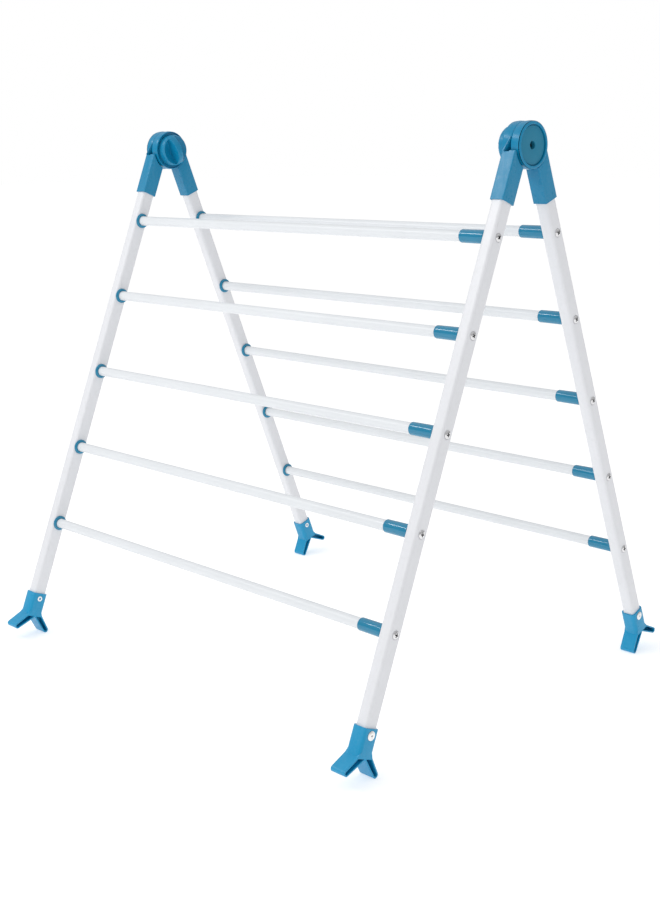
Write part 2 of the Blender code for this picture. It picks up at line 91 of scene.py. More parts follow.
RAIL_WIDTH = 0.0176
RAIL_DEPTH = 0.0206
RAIL_CORNER = 0.004
DIMPLE_RADIUS = 0.0065
DIMPLE_DEPTH = 0.0006
GAP = 0.0003
SHELL = 0.0010
SOCKET_WIDTH = RAIL_WIDTH + 2 * (GAP + SHELL)
SOCKET_DEPTH = RAIL_DEPTH + 2 * (GAP + SHELL)
FOOT_SHELL = 0.0020
FOOT_WIDTH = RAIL_WIDTH + 2 * (GAP + FOOT_SHELL)
FOOT_DEPTH = RAIL_DEPTH + 2 * (GAP + FOOT_SHELL)

TUBE_RADIUS = 0.0070
TUBE_SHORT = 0.0013  # from a tube's end to the rail's outer face
TUBE_WALL = 0.0006
INNER_RADIUS = 0.0061
INNER_LENGTH = 0.600
SLEEVE_RADIUS = 0.0084
SLEEVE_LENGTH = 0.037
SLEEVE_LIP = 0.0022
COLLAR_RADIUS = 0.0109
COLLAR_LENGTH = 0.0030

KNUCKLE_RADIUS = 0.0287
KNUCKLE_CROWN = 0.0007
KNUCKLE_REACH = 0.0131
ARM_TOP = 0.0095
SOCKET_TOP = 0.0170
SOCKET_BOTTOM = 0.0770
SOCKET_CORNER = 0.0015
POCKET_TOP = 0.0360
CLEARANCE_RADIUS = 0.0306
BOLT_HOLE = 0.0034
RIDGE_END = 0.0292
RIDGE_WIDTH = 0.0015
RECESS_RADIUS = 0.0243
RECESS_DEPTH = 0.0018
GROOVE_WIDTH = 0.0013
GROOVE_DEPTH = 0.0014
KNOB_RECESS_RADIUS = 0.0270
KNOB_RECESS_DEPTH = 0.0028
HEAD_RADIUS = 0.0045
HEAD_LENGTH = 0.0040
COUNTERBORE_DEPTH = 0.0092
NOTCH_TOP = 0.0005
NOTCH_WIDTH = 0.0060
NOTCH_DEPTH = 0.0070

KNOB_RADIUS = 0.0228
KNOB_HEIGHT = 0.0217
KNOB_DOME_RADIUS = 0.0258
BOWL_FLOOR = 0.0038
BOWL_RISE = 0.0066
BOWL_RADIUS = 0.0212
KNOB_LIP_RADIUS = 0.0208
RIB_TOP = 0.0250
RIB_HALF = 0.0037
RIB_SLOPE = 9.0
KNOB_TILT = {"left": LEAN, "right": 0.0}
BOLT_RADIUS = 0.0030
BOLT_END = KNUCKLE_REACH - KNOB_RECESS_DEPTH + 0.0110
HEX_RADIUS = 0.0029

FOOT_TOP = 0.7105
FOOT_CORNER = 0.0055
RIVET_DROP = 0.0080
FOOT_POCKET = 0.0260
PRONG_ROOT = 0.0340
CROTCH = 0.0365
SLOT_TOP = 0.0358
TIP_DROP = 0.0533
TIP_SPREAD = 0.0255
TIP_RADIUS = 0.0041
PRONG_WALL = 0.0018
PRONG_WEB = 0.0016

RIVET_RADIUS = 0.0060
RIVET_SHANK = 0.0024
RIVET_TAIL = 0.0040
SCREW_RADIUS = 0.0052
SCREW_SHANK = 0.0020
SCREW_TOP = 0.0015
CROSS_DEPTH = 0.0018


# ---------------------------------------------------------------- shapes

def filleted(corners, closed=False):
    """A polyline through (a, b, radius) corners, each rounded by an arc of its radius."""
    out = []
    for i, (a, b, radius) in enumerate(corners):
        here = Vector((a, b))
        if radius == 0 or (not closed and i in (0, len(corners) - 1)):
            out.append(here)
            continue
        before = (Vector(corners[i - 1][:2]) - here).normalized()
        after = (Vector(corners[(i + 1) % len(corners)][:2]) - here).normalized()
        angle = before.angle(after)
        centre = here + (before + after).normalized() * (radius / math.sin(angle / 2))
        start = here + before * (radius / math.tan(angle / 2)) - centre
        end = here + after * (radius / math.tan(angle / 2)) - centre
        turn = math.pi - angle
        sign = 1 if start.x * end.y - start.y * end.x > 0 else -1
        steps = max(2, math.ceil(turn / ARC_STEP))
        for k in range(steps + 1):
            t = sign * turn * k / steps
            out.append(centre + Vector((start.x * math.cos(t) - start.y * math.sin(t),
                                        start.x * math.sin(t) + start.y * math.cos(t))))
    return out


def finish_mesh(bm, name, angle=SHARP_ANGLE):
    bmesh.ops.remove_doubles(bm, verts=bm.verts, dist=1e-7)
    bmesh.ops.recalc_face_normals(bm, faces=bm.faces)
    mesh = bpy.data.meshes.new(name)
    bm.to_mesh(mesh)
    bm.free()
    mesh.shade_smooth()
    mesh.set_sharp_from_angle(angle=math.radians(angle))
    return mesh


def lathe(name, profile, steps, ring=False):
    """Turns a polyline of (x, radius) points round X. A ring's outline closes on itself."""
    bm = bmesh.new()
    rows = []
    for x, radius in profile:
        if radius < 1e-7:
            rows.append([bm.verts.new((x, 0, 0))] * steps)
            continue
        rows.append([bm.verts.new((x, radius * math.cos(2 * math.pi * i / steps),
                                   radius * math.sin(2 * math.pi * i / steps)))
                     for i in range(steps)])
    pairs = list(zip(rows, rows[1:]))
    if ring:
        pairs.append((rows[-1], rows[0]))
    for one, other in pairs:
        for i in range(steps):
            j = (i + 1) % steps
            corners = list(dict.fromkeys((one[i], one[j], other[j], other[i])))
            if len(corners) > 2:
                bm.faces.new(corners)
    return finish_mesh(bm, name)


def prism(name, outline, low, high, axes=(0, 1, 2)):
    """A closed outline pushed from low to high. axes say where its a, b and depth go."""
    bm = bmesh.new()
    levels = []
    for depth in (low, high):
        level = []
        for a, b in outline:
            place = [0.0, 0.0, 0.0]
            place[axes[0]], place[axes[1]], place[axes[2]] = a, b, depth
            level.append(bm.verts.new(place))
        levels.append(level)
    bm.faces.new(levels[0])
    bm.faces.new(levels[1])
    for i in range(len(outline)):
        j = (i + 1) % len(outline)
        bm.faces.new((levels[0][i], levels[0][j], levels[1][j], levels[1][i]))
    return finish_mesh(bm, name)


def rounded_box(name, low, high, corner):
    """A box whose four edges along Z are rounded. low and high are (x, y, z) corners."""
    corners = [(low[0], low[1], corner), (high[0], low[1], corner),
               (high[0], high[1], corner), (low[0], high[1], corner)]
    return prism(name, filleted(corners, closed=True), low[2], high[2])


def combined(base, *steps, angle=SHARP_ANGLE):
    """The mesh that's left when each (operation, mesh) has been applied to the base mesh."""
    made = []
    for mesh in (base, *(mesh for _, mesh in steps)):
        obj = bpy.data.objects.new("step", mesh)
        bpy.context.scene.collection.objects.link(obj)
        made.append(obj)
    for (operation, _), tool in zip(steps, made[1:]):
        modifier = made[0].modifiers.new("step", "BOOLEAN")
        modifier.operation = operation
        modifier.object = tool
    graph = bpy.context.evaluated_depsgraph_get()
    mesh = bpy.data.meshes.new_from_object(made[0].evaluated_get(graph))
    mesh.name = base.name + "_made"
    for obj in made:
        old = obj.data
        bpy.data.objects.remove(obj)
        bpy.data.meshes.remove(old)
    mesh.materials.clear()
    mesh.shade_smooth()
    mesh.set_sharp_from_angle(angle=math.radians(angle))
    return mesh


def place_piece(name, mesh, matrix, material, node):
    """Puts a piece in the row frame, in the place of a CAD node."""
    mesh = mesh.copy()
    mesh.transform(matrix)
    if not mesh.materials:
        mesh.materials.append(material)
    obj = bpy.data.objects.new(name, mesh)
    bpy.context.scene.collection.objects.link(obj)
    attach(obj, NODES[node]["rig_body"])
    return obj


def stand_in(node, mesh, matrix, material):
    obj = place_piece(node + "_fine", mesh, matrix, material, node)
    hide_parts(node)
    return obj


# ---------------------------------------------------------------- materials

class Tree:
    """A material's nodes, with short calls to add them."""

    def __init__(self, name):
        self.material = bpy.data.materials.new(name)
        self.material.use_nodes = True
        self.tree = self.material.node_tree
        self.shader = self.tree.nodes["Principled BSDF"]
        self.coords = self.add("ShaderNodeTexCoord").outputs["Object"]

    def add(self, kind, **settings):
        node = self.tree.nodes.new(kind)
        for key, value in settings.items():
            setattr(node, key, value)
        return node

    def link(self, source, target):
        self.tree.links.new(source, target)

    def noise(self, scale, detail, roughness=0.5, stretch=None):
        node = self.add("ShaderNodeTexNoise")
        node.inputs["Scale"].default_value = scale
        node.inputs["Detail"].default_value = detail
        node.inputs["Roughness"].default_value = roughness
        source = self.coords
        if stretch:
            mapping = self.add("ShaderNodeMapping")
            mapping.inputs["Scale"].default_value = stretch
            self.link(source, mapping.inputs["Vector"])
            source = mapping.outputs["Vector"]
        self.link(source, node.inputs["Vector"])
        return node.outputs["Fac"]

    def spread(self, value, low, high, to_low, to_high):
        node = self.add("ShaderNodeMapRange")
        for key, number in (("From Min", low), ("From Max", high),
                            ("To Min", to_low), ("To Max", to_high)):
            node.inputs[key].default_value = number
        self.link(value, node.inputs["Value"])
        return node.outputs["Result"]

    def mix(self, factor, one, other):
        """Colour one where the factor is 0, and the other where it is 1."""
        node = self.add("ShaderNodeMix", data_type="RGBA")
        for socket, value in (("A", one), ("B", other)):
            target = next(s for s in node.inputs if s.name == socket and s.type == "RGBA")
            if isinstance(value, tuple):
                target.default_value = (*value, 1.0)
            else:
                self.link(value, target)
        self.link(factor, node.inputs["Factor"])
        return next(s for s in node.outputs if s.type == "RGBA")

    def edges(self, low, high):
        """1 on convex edges and 0 on flat faces."""
        point = self.add("ShaderNodeNewGeometry").outputs["Pointiness"]
        return self.spread(point, low, high, 0.0, 1.0)

    def times(self, one, other):
        node = self.add("ShaderNodeMath", operation="MULTIPLY")
        for i, value in enumerate((one, other)):
            if isinstance(value, (int, float)):
                node.inputs[i].default_value = value
            else:
                self.link(value, node.inputs[i])
        return node.outputs["Value"]

    def bump(self, height, distance, strength, normal):
        node = self.add("ShaderNodeBump")
        node.inputs["Distance"].default_value = distance
        node.inputs["Strength"].default_value = strength
        self.link(height, node.inputs["Height"])
        self.link(normal, node.inputs["Normal"])
        return node.outputs["Normal"]

    def bevel(self, radius):
        node = self.add("ShaderNodeBevel", samples=6)
        node.inputs["Radius"].default_value = radius
        return node.outputs["Normal"]

    def set(self, **values):
        for name, value in values.items():
            socket = self.shader.inputs[name.replace("_", " ")]
            if isinstance(value, bpy.types.NodeSocket):
                self.link(value, socket)
            else:
                socket.default_value = value
        return self.material


def powder_coat(name, colour):
    """Satin powder coat on steel: a fine orange peel and a little unevenness."""
    t = Tree(name)
    broad = t.spread(t.noise(14, 3), 0.3, 0.7, 0.0, 1.0)
    tone = t.mix(broad, tuple(c * 0.975 for c in colour), colour)
    rubbed = t.times(t.edges(0.53, 0.60), t.spread(t.noise(160, 4, 0.6), 0.5, 0.72, 0.0, 0.35))
    tone = t.mix(rubbed, tone, (0.70, 0.71, 0.72))
    gloss = t.spread(t.noise(55, 4, 0.6), 0.3, 0.7, 0.30, 0.40)
    peel = t.noise(900, 2, 0.5)
    normal = t.bump(peel, 0.00003, 0.35, t.bevel(0.0003))
    return t.set(Base_Color=tone, Roughness=gloss, Normal=normal, IOR=1.5)


def plastic(name, colour, shine, mirror, peel_size=1400):
    """Moulded plastic with faint flow clouding, fine texture and lighter worn edges."""
    t = Tree(name)
    cloud = t.spread(t.noise(38, 4, 0.55), 0.3, 0.7, 0.0, 1.0)
    tone = t.mix(cloud, tuple(c * 0.965 for c in colour), tuple(c * 1.025 for c in colour))
    worn = t.times(t.edges(0.52, 0.62), t.spread(t.noise(300, 4, 0.6), 0.35, 0.65, 0.04, 0.22))
    tone = t.mix(worn, tone, tuple(c + (1 - c) * 0.16 for c in colour))
    gloss = t.spread(t.noise(120, 4, 0.6), 0.3, 0.7, shine * 0.85, shine * 1.2)
    grain = 0.14 if shine > 0.2 else 0.08
    normal = t.bump(t.noise(peel_size, 3, 0.6), 0.00003, grain, t.bevel(0.0005))
    return t.set(Base_Color=tone, Roughness=gloss, Normal=normal, IOR=1.49,
                 Specular_IOR_Level=mirror)


def steel(name, colour, shine, stretch=(1.0, 1.0, 1.0)):
    """Bare or plated metal with drawn grain and small stains."""
    t = Tree(name)
    lines = t.noise(600, 4, 0.65, stretch)
    tone = t.mix(t.spread(lines, 0.3, 0.7, 0.0, 1.0), tuple(c * 0.86 for c in colour), colour)
    gloss = t.spread(t.noise(200, 4, 0.6, stretch), 0.3, 0.7, shine - 0.06, shine + 0.08)
    normal = t.bump(lines, 0.00002, 0.5, t.bevel(0.0002))
    return t.set(Base_Color=tone, Roughness=gloss, Normal=normal, Metallic=1.0)


WHITE = powder_coat("rail_powder_coat", (0.79, 0.80, 0.83))
TUBE_WHITE = powder_coat("rung_powder_coat", (0.77, 0.795, 0.82))
BLUE = plastic("hinge_plastic", (0.003, 0.226, 0.420), 0.30, 0.34)
# painted shade: a darker, duller blue for the outer knuckle's recess floor, with rougher, coarser
# grain
RECESS_SHADE_BLUE = plastic("recess_shade_plastic", (0.012, 0.200, 0.330), 0.42, 0.30, 900)
FOOT_BLUE = plastic("foot_plastic", (0.006, 0.300, 0.552), 0.32, 0.36)
GLOSS_BLUE = plastic("sleeve_plastic", (0.004, 0.205, 0.360), 0.08, 0.62, 2200)
PLATED = steel("plated_tube", (0.72, 0.73, 0.74), 0.26, (0.05, 1.0, 1.0))
RIVET = steel("rivet_aluminium", (0.93, 0.93, 0.92), 0.36)
SCREW = steel("screw_zinc", (0.80, 0.80, 0.81), 0.20)
# painted shade: near-black for the screws' cross recesses, the rivets' hollows and a contact-shadow
# rim round each rivet head
PAINTED_SHADE = steel("painted_recess_shade", (0.09, 0.09, 0.10), 0.45)
BLACK = steel("black_oxide", (0.045, 0.045, 0.05), 0.42)


# ---------------------------------------------------------------- meshes

def rail_mesh():
    """A rail about its own centre line, with a pressed dimple round each screw on its +X face."""
    half_x, half_y = RAIL_WIDTH / 2, RAIL_DEPTH / 2
    body = rounded_box("rail", (-half_x, -half_y, -(FOOT_TOP + FOOT_POCKET - GAP)),
                       (half_x, half_y, -(POCKET_TOP + GAP)), RAIL_CORNER)
    bottom, above = half_x - DIMPLE_DEPTH, half_x + 0.002
    dimple = filleted([
        (bottom, 0.0, 0), (bottom, DIMPLE_RADIUS - 0.0011, 0.0003),
        (half_x - 0.00005, DIMPLE_RADIUS - 0.0005, 0.0004),
        (half_x + DIMPLE_DEPTH, DIMPLE_RADIUS, 0), (above, DIMPLE_RADIUS, 0), (above, 0.0, 0),
    ])
    steps = []
    for i in range(RUNGS):
        cutter = lathe(f"dimple_{i}", dimple, 40)
        cutter.transform(Matrix.Translation((0, 0, -PITCH * (i + 1))))
        steps.append(("DIFFERENCE", cutter))
    return combined(body, *steps, angle=50)


def tube_mesh(low, high, radius):
    """A thin tube along X with softened ends."""
    bore = radius - TUBE_WALL
    soft = TUBE_WALL * 0.3
    outline = filleted([(low, bore, soft), (low, radius, soft), (high, radius, soft),
                        (high, bore, soft)], closed=True)
    return lathe("tube", outline, 56, ring=True)


def sleeve_mesh(low, high):
    """The end sleeve of a sliding rung: a rounded rim, a long taper and a thicker foot."""
    bore = TUBE_RADIUS + CLOSE
    foot = INNER_RADIUS + CLOSE
    lip = high - SLEEVE_LIP
    outline = filleted([
        (low, bore, 0.0004), (low, SLEEVE_RADIUS - 0.0002, 0.0009),
        (high - 0.0050, SLEEVE_RADIUS, 0.0010), (high, SLEEVE_RADIUS, 0.0005),
        (high, foot, 0.0002), (lip, foot, 0), (lip, bore, 0),
    ], closed=True)
    return lathe("sleeve", outline, 64, ring=True)


def collar_mesh(face):
    """The short collar against the left rail's inner face at x = face."""
    bore = TUBE_RADIUS + CLOSE
    outline = filleted([
        (face, bore, 0), (face, COLLAR_RADIUS, 0.0003),
        (face + COLLAR_LENGTH * 0.55, COLLAR_RADIUS, 0.0009),
        (face + COLLAR_LENGTH, COLLAR_RADIUS - 0.0016, 0.0007),
        (face + COLLAR_LENGTH, bore, 0.0003),
    ], closed=True)
    return lathe("collar", outline, 64, ring=True)


def arm_mesh(knob_side):
    """A knuckle on the +X half of the hinge, with the web and socket that hold a rail."""
    face = KNUCKLE_REACH
    edge = KNUCKLE_RADIUS - KNUCKLE_CROWN
    outside = [
        (face, edge, 0.0007 if knob_side else 0.0019),
        (face * 0.55, KNUCKLE_RADIUS + KNUCKLE_CROWN * 0.6, 0.03),
        (NEAR, edge, 0.0006),
        (NEAR, BOLT_HOLE, 0),
    ]
    if knob_side:
        floor = face - KNOB_RECESS_DEPTH
        inside = [(floor, BOLT_HOLE, 0), (floor, KNOB_RECESS_RADIUS, 0.0004),
                  (face, KNOB_RECESS_RADIUS, 0.0004)]
    else:
        floor = face - RECESS_DEPTH
        groove = floor - GROOVE_DEPTH
        seat = floor - COUNTERBORE_DEPTH
        inside = [
            (seat, BOLT_HOLE, 0), (seat, HEAD_RADIUS + 0.0004, 0),
            (floor - 0.0004, HEAD_RADIUS + 0.0004, 0.0001),
            (floor, HEAD_RADIUS + 0.0009, 0.0002),
            (floor, RECESS_RADIUS - GROOVE_WIDTH, 0.0003),
            (groove, RECESS_RADIUS - GROOVE_WIDTH, 0.0003),
            (groove, RECESS_RADIUS, 0.0003), (face, RECESS_RADIUS, 0.0005),
        ]
    knuckle = lathe("knuckle", filleted(outside + inside, closed=True), 112, ring=True)
    half = SOCKET_WIDTH / 2
    inner, outer = OFFSET - SOCKET_DEPTH / 2, OFFSET + SOCKET_DEPTH / 2
    socket = rounded_box("arm", (-half, inner, -SOCKET_BOTTOM), (half, outer, -SOCKET_TOP),
                         SOCKET_CORNER)
    radius = CLEARANCE_RADIUS
    sweep = lathe("sweep", [(-0.03, 0.0), (-0.03, radius), (0.03, radius), (0.03, 0.0)], 160)
    web = rounded_box("web", (0.0002, inner + 0.0005, -POCKET_TOP + 0.001),
                      (half - 0.0002, outer - 0.0002, -ARM_TOP), SOCKET_CORNER - NEAR)
    play = Vector((RAIL_WIDTH / 2 + NEAR, RAIL_DEPTH / 2 + NEAR))
    pocket = rounded_box("pocket", (-play.x, OFFSET - play.y, -SOCKET_BOTTOM - 0.01),
                         (play.x, OFFSET + play.y, -POCKET_TOP), RAIL_CORNER)
    corners = [(-0.0005, -NOTCH_TOP), (NOTCH_WIDTH, -SOCKET_TOP - 0.001),
               (-0.0005, -SOCKET_TOP - 0.001)]
    notch = prism("notch", corners, outer - NOTCH_DEPTH, outer + 0.005, axes=(0, 2, 1))
    top, foot = -NOTCH_TOP - 0.0003, -SOCKET_TOP - 0.0008
    ridge = prism("ridge", [(0.0002, top), (NOTCH_WIDTH + NEAR, foot),
                            (NOTCH_WIDTH + NEAR + RIDGE_WIDTH, foot), (0.0018, top)],
                  outer - 0.006, RIDGE_END, axes=(0, 2, 1))
    mesh = combined(socket, ("DIFFERENCE", sweep), ("UNION", web), ("UNION", knuckle),
                    ("DIFFERENCE", pocket), ("DIFFERENCE", notch), ("UNION", ridge), angle=28)
    mesh.materials.append(BLUE)
    # the outer knuckle's recess floor takes the darker blue of painted shade in the recess
    if not knob_side:
        mesh.materials.append(RECESS_SHADE_BLUE)
        for polygon in mesh.polygons:
            far = Vector(polygon.center[1:]).length
            if far < RECESS_RADIUS - 0.0002 and polygon.center.x > seat - 0.0010:
                polygon.material_index = 1
    return mesh


def prong_outline(side, inset, top):
    """One prong as (out, down) points from the middle of the foot, shrunk by inset."""
    root = Vector((FOOT_DEPTH / 2 - NEAR, PRONG_ROOT - NEAR))
    crotch = Vector((0.0, CROTCH))
    tip = Vector((TIP_SPREAD, TIP_DROP))
    radius = TIP_RADIUS - inset

    def tangent(start, turn):
        """The unit direction from start that just touches the tip's circle."""
        away = tip - start
        angle = math.atan2(away.y, away.x) + turn * math.asin(TIP_RADIUS / away.length)
        return Vector((math.cos(angle), math.sin(angle)))

    outer, inner = tangent(root, -1), tangent(crotch, 1)
    outer_normal = Vector((outer.y, -outer.x))
    inner_normal = Vector((-inner.y, inner.x))
    outer_start = root - outer_normal * inset
    outer_start += outer * (top - outer_start.y) / outer.y
    inner_start = crotch - inner_normal * inset
    inner_start += inner * (top - inner_start.y) / inner.y
    begin = math.atan2(outer_normal.y, outer_normal.x)
    end = math.atan2(inner_normal.y, inner_normal.x)
    steps = 16
    arc = [begin + (end - begin) * i / steps for i in range(steps + 1)]
    points = [outer_start]
    points += [tip + radius * Vector((math.cos(t), math.sin(t))) for t in arc]
    points.append(inner_start)
    return [(side * p.x, p.y) for p in points]


def foot_mesh():
    """A foot about the rail's centre line, with z = 0 at its top rim."""
    half_x, half_y = FOOT_WIDTH / 2, FOOT_DEPTH / 2
    sleeve = rounded_box("foot", (-half_x, -half_y, -PRONG_ROOT), (half_x, half_y, 0.0),
                         FOOT_CORNER)
    out_side = prong_outline(1, 0.0, PRONG_ROOT - NEAR)[:-1]
    in_side = prong_outline(-1, 0.0, PRONG_ROOT - NEAR)[:-1]
    top = FOOT_POCKET + 0.001
    outline = [(half_y * 0.7, top), *out_side, (0.0, CROTCH), *reversed(in_side),
               (-half_y * 0.7, top)]
    down = [(out, -drop) for out, drop in outline]
    fork = prism("fork", down, -half_x + NEAR, half_x - NEAR, axes=(1, 2, 0))
    steps = [("UNION", fork)]
    for side in (-1, 1):
        slot = [(out, -drop) for out, drop in prong_outline(side, PRONG_WALL, SLOT_TOP)]
        for low, high in ((-half_x - 0.002, -PRONG_WEB / 2), (PRONG_WEB / 2, half_x + 0.002)):
            steps.append(("DIFFERENCE", prism("slot", slot, low, high, axes=(1, 2, 0))))
    play_x, play_y = RAIL_WIDTH / 2 + NEAR, RAIL_DEPTH / 2 + NEAR
    pocket = rounded_box("pocket", (-play_x, -play_y, -FOOT_POCKET), (play_x, play_y, 0.01),
                         RAIL_CORNER)
    steps.append(("DIFFERENCE", pocket))
    return combined(sleeve, *steps, angle=28)


def rivet_mesh():
    """A blind rivet along X: a domed head with its core's hollow, and a flat hollow tail. The
    head's rim carries a painted contact shadow and both hollows painted shade.
    """
    half = FOOT_WIDTH / 2
    outline = filleted([
        (half + 0.0006, 0.0, 0), (half + 0.0006, 0.0011, 0.0001), (half + 0.0014, 0.0013, 0.0001),
        (half + 0.0012, 0.0036, 0.002), (half + 0.0004, RIVET_RADIUS - 0.0001, 0.0004),
        (half - 0.0002, RIVET_RADIUS, 0), (half - 0.0002, RIVET_SHANK, 0),
        (-half + 0.0002, RIVET_SHANK, 0), (-half + 0.0002, RIVET_TAIL, 0),
        (-half - 0.0006, RIVET_TAIL - 0.0001, 0.0003), (-half - 0.0007, 0.0019, 0.0001),
        (-half + 0.0004, 0.0017, 0.0001), (-half + 0.0004, 0.0, 0),
    ])
    mesh = lathe("rivet", outline, 48)
    mesh.materials.append(RIVET)
    mesh.materials.append(PAINTED_SHADE)
    # painted shade: the head's outer rim as a contact shadow, and the hollows in head and tail,
    # take the near-black material
    for polygon in mesh.polygons:
        rim = Vector(polygon.center[1:]).length
        hollow = rim < 0.0010 if polygon.center.x > 0 else rim < 0.0015
        if rim > RIVET_RADIUS - 0.0002 or hollow:
            polygon.material_index = 1
    return mesh


def cross_bar(x_top, depth, turn):
    """One tapered bar of a screw's cross recess, from x_top down by depth."""
    bm = bmesh.new()
    ends = []
    for x, long_half, wide_half in ((x_top + 0.0006, 0.0033, 0.0009),
                                    (x_top - depth, 0.0016, 0.0005)):
        level = []
        for a, b in ((-1, -1), (1, -1), (1, 1), (-1, 1)):
            y, z = a * long_half, b * wide_half
            level.append(bm.verts.new((x, -z, y) if turn else (x, y, z)))
        bm.faces.new(level)
        ends.append(level)
    for i in range(4):
        bm.faces.new((ends[0][i - 1], ends[0][i], ends[1][i], ends[1][i - 1]))
    return finish_mesh(bm, "cross")


def screw_mesh(shade_paint):
    """A pan-head screw along X, with x = 0 on the rail's face. The inside of its cross recess is
    painted dark as shade.
    """
    outline = filleted([
        (SCREW_TOP + 0.0001, 0.0, 0), (SCREW_TOP, 0.0024, 0.004),
        (0.0005, SCREW_RADIUS - 0.0001, 0.0006), (-0.0005, SCREW_RADIUS, 0.0001),
        (-0.0005, SCREW_SHANK, 0), (-0.0030, SCREW_SHANK, 0), (-0.0030, 0.0, 0),
    ])
    bars = (cross_bar(SCREW_TOP, CROSS_DEPTH, False),
            cross_bar(SCREW_TOP, CROSS_DEPTH - 0.00005, True))
    mesh = combined(lathe("screw", outline, 40), *(("DIFFERENCE", bar) for bar in bars))
    mesh.materials.append(SCREW)
    mesh.materials.append(shade_paint)
    # painted shade: the faces inside the cross recess take the near-black material
    for face in mesh.polygons:
        inside = Vector(face.center[1:]).length < 0.0028
        if inside and face.center.x < 0.00125 and face.center.x > -0.0004:
            face.material_index = 1
    return mesh


def bolt_mesh(seat, end):
    """A hinge bolt along X: a cap head with a hex socket, and its shank."""
    top, head = seat + HEAD_LENGTH, HEAD_RADIUS
    outline = filleted([
        (top, 0.0, 0), (top, head, 0.0005), (seat, head, 0.0002), (seat, BOLT_RADIUS, 0),
        (end + 0.0006, BOLT_RADIUS, 0), (end, BOLT_RADIUS - 0.0006, 0), (end, 0.0, 0),
    ])
    hexagon = [(HEX_RADIUS * math.cos(math.pi * i / 3), HEX_RADIUS * math.sin(math.pi * i / 3))
               for i in range(6)]
    socket = prism("hex", hexagon, top - 0.0022, top + 0.001, axes=(1, 2, 0))
    return combined(lathe("bolt", outline, 48), ("DIFFERENCE", socket))


def smooth_max(a, b, blend):
    t = max(0.0, min(1.0, 0.5 + (a - b) / (2 * blend)))
    return b + (a - b) * t + blend * t * (1 - t)


def smooth_min(a, b, blend):
    return -smooth_max(-a, -b, blend)


def knob_height(across, along):
    """The knob's height over the knuckle's face: a dome with a bowl on each side of a rib."""
    radius = min(math.hypot(across, along), KNOB_RADIUS)
    dome = KNOB_HEIGHT - KNOB_DOME_RADIUS + math.sqrt(KNOB_DOME_RADIUS ** 2 - radius ** 2)
    share = min(1.0, radius / BOWL_RADIUS)
    bowl = BOWL_FLOOR + BOWL_RISE * share ** 2.4 + max(0.0, radius - KNOB_LIP_RADIUS) * 6.0
    rib = RIB_TOP - max(0.0, abs(across) - RIB_HALF) * RIB_SLOPE
    return smooth_min(dome, smooth_max(bowl, rib, 0.0011), 0.0007)


def knob_mesh():
    """The clamp knob, with the bolt's bore. x is measured from the middle of the hinge."""
    fine = [i * 0.00028 for i in range(28)]
    coarse = [28 * 0.00028 + i * 0.00062 for i in range(1, 26)]
    across = sorted({-v for v in fine + coarse} | set(fine + coarse))
    reach, rows = KNOB_RADIUS + 0.0006, 72
    along = [-reach + 2 * reach * i / rows for i in range(rows + 1)]
    rim = KNOB_RADIUS - 0.0005
    bm = bmesh.new()
    grid = {}

    def vert(i, j):
        if (i, j) not in grid:
            y, z = across[i], along[j]
            distance = math.hypot(y, z)
            if distance > rim:
                y, z = y * rim / distance, z * rim / distance
            grid[i, j] = bm.verts.new((KNUCKLE_REACH + knob_height(y, z), y, z))
        return grid[i, j]

    for i in range(len(across) - 1):
        for j in range(len(along) - 1):
            around = [(i, j), (i + 1, j), (i + 1, j + 1), (i, j + 1)]
            if all(math.hypot(across[a], along[b]) > rim for a, b in around):
                continue
            bm.faces.new([vert(a, b) for a, b in around])
    bmesh.ops.remove_doubles(bm, verts=bm.verts, dist=0.00002)
    for radius, drop in ((KNOB_RADIUS - 0.00012, 0.0003), (KNOB_RADIUS, 0.0008),
                         (KNOB_RADIUS, None)):
        rim_edges = [e for e in bm.edges if len(e.link_faces) == 1]
        grown = bmesh.ops.extrude_edge_only(bm, edges=rim_edges)["geom"]
        for v in (g for g in grown if isinstance(g, bmesh.types.BMVert)):
            turn = math.atan2(v.co.z, v.co.y)
            v.co.y, v.co.z = radius * math.cos(turn), radius * math.sin(turn)
            if drop is None:
                v.co.x = KNUCKLE_REACH - KNOB_RECESS_DEPTH + GAP
            else:
                v.co.x -= drop
    rim_edges = [e for e in bm.edges if len(e.link_faces) == 1]
    bmesh.ops.contextual_create(bm, geom=rim_edges)
    low, high = KNUCKLE_REACH - KNOB_RECESS_DEPTH - 0.001, BOLT_END + GAP
    radius = BOLT_RADIUS + 0.0002
    bore = lathe("bore", [(low, 0.0), (low, radius), (high, radius), (high, 0.0)], 48)
    return combined(finish_mesh(bm, "knob", 60), ("DIFFERENCE", bore), angle=60)


# ---------------------------------------------------------------- the rack

HALF_TURN = Matrix.Rotation(math.pi, 4, "Z")
LEAN_TURN = Matrix.Rotation(LEAN, 4, "X")
HINGE = Matrix.Translation((0, 0, AXIS.z))
LADDERS = {"front": HINGE @ HALF_TURN @ LEAN_TURN, "back": HINGE @ LEAN_TURN}

RAIL_FACE = RAIL_X - RAIL_WIDTH / 2
BURIED = RAIL_X + RAIL_WIDTH / 2 - TUBE_SHORT
SLEEVE_END = RAIL_FACE - GAP
OUTER_TUBE = tube_mesh(-BURIED, SLEEVE_END - SLEEVE_LIP, TUBE_RADIUS)
INNER_TUBE = tube_mesh(BURIED - INNER_LENGTH, BURIED, INNER_RADIUS)
SLEEVE = sleeve_mesh(SLEEVE_END - SLEEVE_LENGTH, SLEEVE_END)
COLLAR = collar_mesh(-RAIL_FACE + 0.0001)
RAIL = rail_mesh()
FOOT = foot_mesh()
ARMS = {True: arm_mesh(True), False: arm_mesh(False)}
RIVET_MESH = rivet_mesh()
SCREW_MESH = screw_mesh(PAINTED_SHADE)
SEAT = KNUCKLE_REACH - RECESS_DEPTH - COUNTERBORE_DEPTH + GAP
BOLT = bolt_mesh(SEAT, -BOLT_END)
KNOB = knob_mesh()

